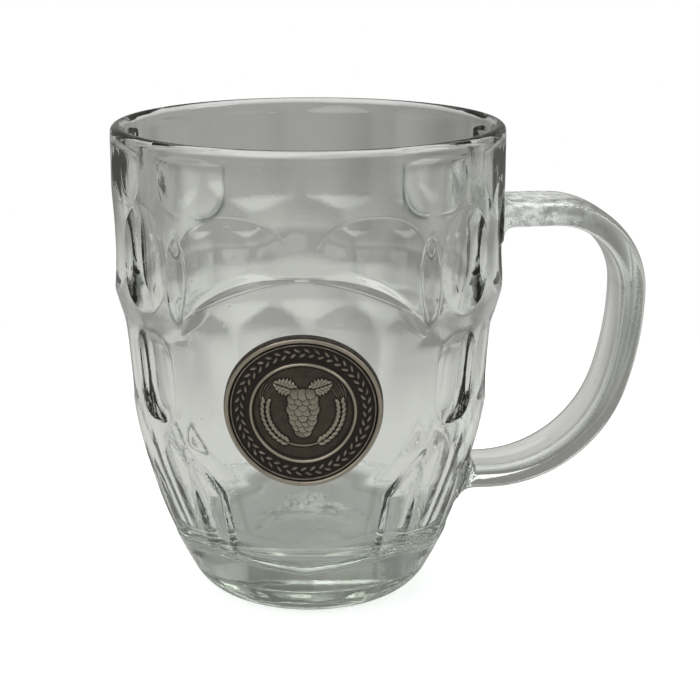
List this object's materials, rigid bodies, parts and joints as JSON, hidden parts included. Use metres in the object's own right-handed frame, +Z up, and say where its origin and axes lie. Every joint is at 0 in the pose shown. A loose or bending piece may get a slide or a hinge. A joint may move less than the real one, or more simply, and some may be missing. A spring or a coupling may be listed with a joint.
{
  "type": "dimpled beer mug",
  "caption": "Heavy pressed glass beer mug with rows of dimples, a broad D handle and a round pewter medallion on its plain front panel.",
  "frame": {"origin": "centre of the foot, on the surface the mug stands on", "axes": "+Z up along the axis of the vessel, +X towards the handle; the front panel faces -Y, turned 8 degrees away from the handle"},
  "size_m": [0.135, 0.0988, 0.121],
  "materials": {
    "glass": "clear pressed glass with a faint grey-green tint",
    "pewter": "antiqued cast pewter, dark in the hollows and worn bright on the raised edges",
    "adhesive": "dark bonding layer"
  },
  "bodies": {
    "root": {"glass_body": "glass", "handle": "glass", "badge": "pewter", "adhesive_pad": "adhesive"}
  },
  "joints": []
}
